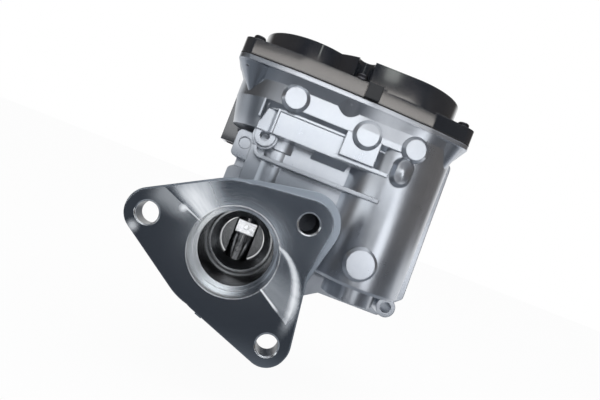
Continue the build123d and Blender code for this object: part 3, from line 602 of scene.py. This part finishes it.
# Screws: dark heads above the seat, bright zinc below
screwFinish = {
    "head": (0.10, 0.10, 0.11, 1),
    "zinc": (0.74, 0.76, 0.80, 1),
    "zincShade": (0.62, 0.64, 0.70, 1),
    "headFrom": 0.08455,
    "pitch": 0.0007,
}


def coverScrewMetal():
    look = screwFinish
    paint = Paint("coverScrewMetal")
    x, y, z = paint.split(paint.place)
    cloud = paint.noise(paint.place, 300.0, 3.0)
    grain = paint.noise(paint.place, 4000.0, 2.0)
    head = z > look["headFrom"]
    color = paint.tint(head, paint.tint(cloud, look["zinc"], look["zincShade"]), look["head"])
    paint.set(Base_Color=color, Metallic=1.0, Roughness=(cloud - 0.5) * 0.2 + 0.28)
    thread = (z * (math.tau / look["pitch"])).math("SINE") * (1 - head)
    paint.relief(grain * 0.006 + thread * 0.08, edge=0.00015)
    return paint.material


# Motor: stacked sheets of the core, enamelled wire laid side by side, copper bars with slots between
motorFinish = {
    "axis": (0.057, 0.051),
    "sheetThick": 0.0005,
    "sheetSeam": (0.12, 0.12, 0.13, 1),
    "sheet": (0.48, 0.49, 0.51, 1),
    "wireThick": 0.0006,
    "wireGap": (0.16, 0.045, 0.015, 1),
    "wire": (0.72, 0.30, 0.12, 1),
    "bars": 12.0,
    "barGap": (0.03, 0.02, 0.02, 1),
    "bar": (0.78, 0.42, 0.26, 1),
}


def stackedSheets():
    look = motorFinish
    paint = Paint("stackedSheets")
    x, y, z = paint.split(paint.place)
    cloud = paint.noise(paint.place, 200.0, 3.0)
    sheet = paint.fade((z * (math.tau / look["sheetThick"])).math("SINE"), -1.0, -0.6)
    color = paint.tint(sheet, look["sheetSeam"], look["sheet"])
    paint.set(Base_Color=color, Metallic=1.0, Roughness=cloud * 0.3 + 0.25)
    paint.relief(sheet * 0.05 + cloud * 0.02, edge=0.0001)
    return paint.material


def woundWire():
    look = motorFinish
    paint = Paint("woundWire")
    x, y, z = paint.split(paint.place)
    reach = reachFrom(x, y, *look["axis"])
    wire = ((z * 0.6 + reach) * (math.tau / look["wireThick"])).math("SINE")
    cloud = paint.noise(paint.place, 260.0, 3.0)
    color = paint.tint(paint.fade(wire, -1.0, 0.4), look["wireGap"], look["wire"])
    paint.set(Base_Color=color, Metallic=1.0, Roughness=cloud * 0.2 + 0.2)
    paint.relief(wire * 0.09 + cloud * 0.05)
    return paint.material


def barredCopper():
    look = motorFinish
    paint = Paint("barredCopper")
    x, y, z = paint.split(paint.place)
    axisX, axisY = look["axis"]
    spin = (y - axisY).math("ARCTAN2", x - axisX)
    cloud = paint.noise(paint.place, 500.0, 3.0)
    bar = paint.fade((spin * look["bars"]).math("SINE"), -1.0, -0.85)
    color = paint.tint(bar, look["barGap"], look["bar"])
    paint.set(Base_Color=color, Metallic=1.0, Roughness=cloud * 0.25 + 0.2)
    paint.relief(bar * 0.12 + cloud * 0.01, edge=0.0001)
    return paint.material


# Circuit board: green lacquer over copper tracks
boardFinish = {
    "lacquer": (0.012, 0.10, 0.045, 1),
    "track": (0.06, 0.24, 0.09, 1),
    "trackPitch": (0.004, 0.0055),
}


def circuitBoard():
    look = boardFinish
    paint = Paint("circuitBoard")
    x, y, z = paint.split(paint.place)
    pitchX, pitchY = look["trackPitch"]
    trackX = (x * (math.tau / pitchX)).math("SINE")
    trackY = (y * (math.tau / pitchY)).math("SINE")
    cloud = paint.noise(paint.place, 120.0, 2.0)
    track = paint.fade(trackX.math("MAXIMUM", trackY) + (cloud - 0.5) * 0.8, 0.90, 0.97)
    color = paint.tint(track, look["lacquer"], look["track"])
    paint.set(Base_Color=color, Roughness=cloud * 0.2 + 0.22, Coat_Weight=0.5)
    paint.relief(track * 0.035 + cloud * 0.01, edge=0.0001)
    return paint.material


finishes = {
    "castMetal": castMetal(),
    "coverPlastic": coverPlastic(),
    "coverScrewMetal": coverScrewMetal(),
    "stackedSheets": stackedSheets(),
    "woundWire": woundWire(),
    "barredCopper": barredCopper(),
    "circuitBoard": circuitBoard(),
}
for name, values in grainyFinishes.items():
    finishes[name] = grainy(name, *values)
for name, values in turnedFinishes.items():
    finishes[name] = turned(name, *values)

nodesInFinish = {
    "castMetal": ("housing",),
    "coverPlastic": ("cover",),
    "capPlastic": ("motor_end_cap",),
    "rubber": ("cover_gasket", "shaft_seal", "rear_seal"),
    "coverScrewMetal": ("cover_screws",),
    "zinc": ("gear_nut", "motor_screws", "stop_screw"),
    "sleeveSteel": ("throat_sleeve",),
    "plateSteel": ("butterfly_plate",),
    "shaftSteel": ("valve_shaft", "plate_screws"),
    "pinSteel": ("intermediate_pin", "motor_shaft"),
    "bronze": ("upper_bush", "lower_bush", "motor_bearings"),
    "gearPlastic": ("output_gear", "magnet_carrier", "intermediate_gear"),
    "brass": ("motor_pinion", "motor_terminals", "connector_pins"),
    "canSteel": ("shaft_plug", "motor_can"),
    "ferrite": ("sensor_magnet", "motor_magnets"),
    "stackedSheets": ("rotor_core",),
    "woundWire": ("rotor_windings",),
    "barredCopper": ("commutator",),
    "carbon": ("motor_brushes",),
    "circuitBoard": ("sensor_board",),
    "springSteel": ("return_spring", "wave_washer"),
}
for finish, names in nodesInFinish.items():
    for name in names:
        nodes[name].data.materials.clear()
        nodes[name].data.materials.append(finishes[finish])
print("finishes on")


# Cover screws: collared heads with a six-lobed recess, blunt points under the lip
coverScrew = {
    "lugs": (
        (-0.0240, 0.0330),
        (0.0232, 0.0274),
        (0.0752, 0.0362),
        (0.0830, 0.0740),
        (0.0340, 0.0820),
        (-0.0030, 0.0824),
    ),
    "tip": 0.0748,
    "tipTaper": 0.0007,
    "tipShare": 0.55,
    "seat": 0.0846,
    "shank": 0.0016,
    "collar": 0.0033,
    "collarHigh": 0.0005,
    "slopeHigh": 0.0010,
    "head": 0.0028,
    "headTop": 0.0026,
    "topRadius": 0.0022,
    "headHigh": 0.0026,
    "topRound": 0.0004,
    "recess": 0.0017,
    "lobes": 6,
    "lobe": 0.00022,
    "lobeBase": 1.4,
    "deep": 0.0015,
    "steps": 24,
}


def addScrew(shape, spot):
    look = coverScrew
    tip, seat, shank, collar = look["tip"], look["seat"], look["shank"], look["collar"]
    top = seat + look["headHigh"]
    outline = (
        (0.0, tip),
        (shank * look["tipShare"], tip),
        (shank, tip + look["tipTaper"]),
        (shank, seat),
        (collar, seat),
        (collar, seat + look["collarHigh"]),
        (look["head"], seat + look["slopeHigh"]),
        (look["headTop"], top - look["topRound"]),
        (look["topRadius"], top),
        (look["recess"], top),
    )
    chain = [shape.verts.new((r, 0, z)) for r, z in outline]
    edges = [shape.edges.new(pair) for pair in zip(chain, chain[1:])]
    turn = {"cent": (0, 0, 0), "axis": (0, 0, 1), "angle": math.tau, "steps": look["steps"]}
    bmesh.ops.spin(shape, geom=chain + edges, use_merge=True, **turn)
    mine = [v for v in shape.verts if v.co.length > 0 and not v.tag]
    rim = {v for v in mine if abs(v.co.z - top) < 1e-6 and abs(v.co.xy.length - look["recess"]) < 1e-5}
    loop = [e for e in shape.edges if e.verts[0] in rim and e.verts[1] in rim]
    for drop in (0.0, look["deep"]):  # first in to the lobes, then down
        made = bmesh.ops.extrude_edge_only(shape, edges=loop)["geom"]
        loop = [item for item in made if isinstance(item, bmesh.types.BMEdge)]
        for vert in {v for edge in loop for v in edge.verts}:
            if drop == 0.0:
                wave = look["lobeBase"] - math.cos(look["lobes"] * math.atan2(vert.co.y, vert.co.x))
                vert.co.xy *= 1 - look["lobe"] * wave / look["recess"]
            vert.co.z -= drop
    bmesh.ops.holes_fill(shape, edges=loop, sides=0)
    fresh = [v for v in shape.verts if not v.tag]
    bmesh.ops.translate(shape, verts=fresh, vec=(*spot, 0))
    for vert in fresh:
        vert.tag = True


def makeCoverScrews():
    mesh = bpy.data.meshes.new("coverScrews")
    shape = bmesh.new()
    for spot in coverScrew["lugs"]:
        addScrew(shape, spot)
    bmesh.ops.remove_doubles(shape, verts=shape.verts, dist=0.000005)
    bmesh.ops.recalc_face_normals(shape, faces=shape.faces)
    for face in shape.faces:
        face.smooth = True
    shape.to_mesh(mesh)
    shape.free()
    mesh.set_sharp_from_angle(angle=math.radians(35))
    mesh.materials.append(finishes["coverScrewMetal"])
    piece = bpy.data.objects.new("cover_screw_set", mesh)
    scene.collection.objects.link(piece)
    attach(piece, "valve_body")
    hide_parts("cover_screws")


makeCoverScrews()
print("cover screws made")
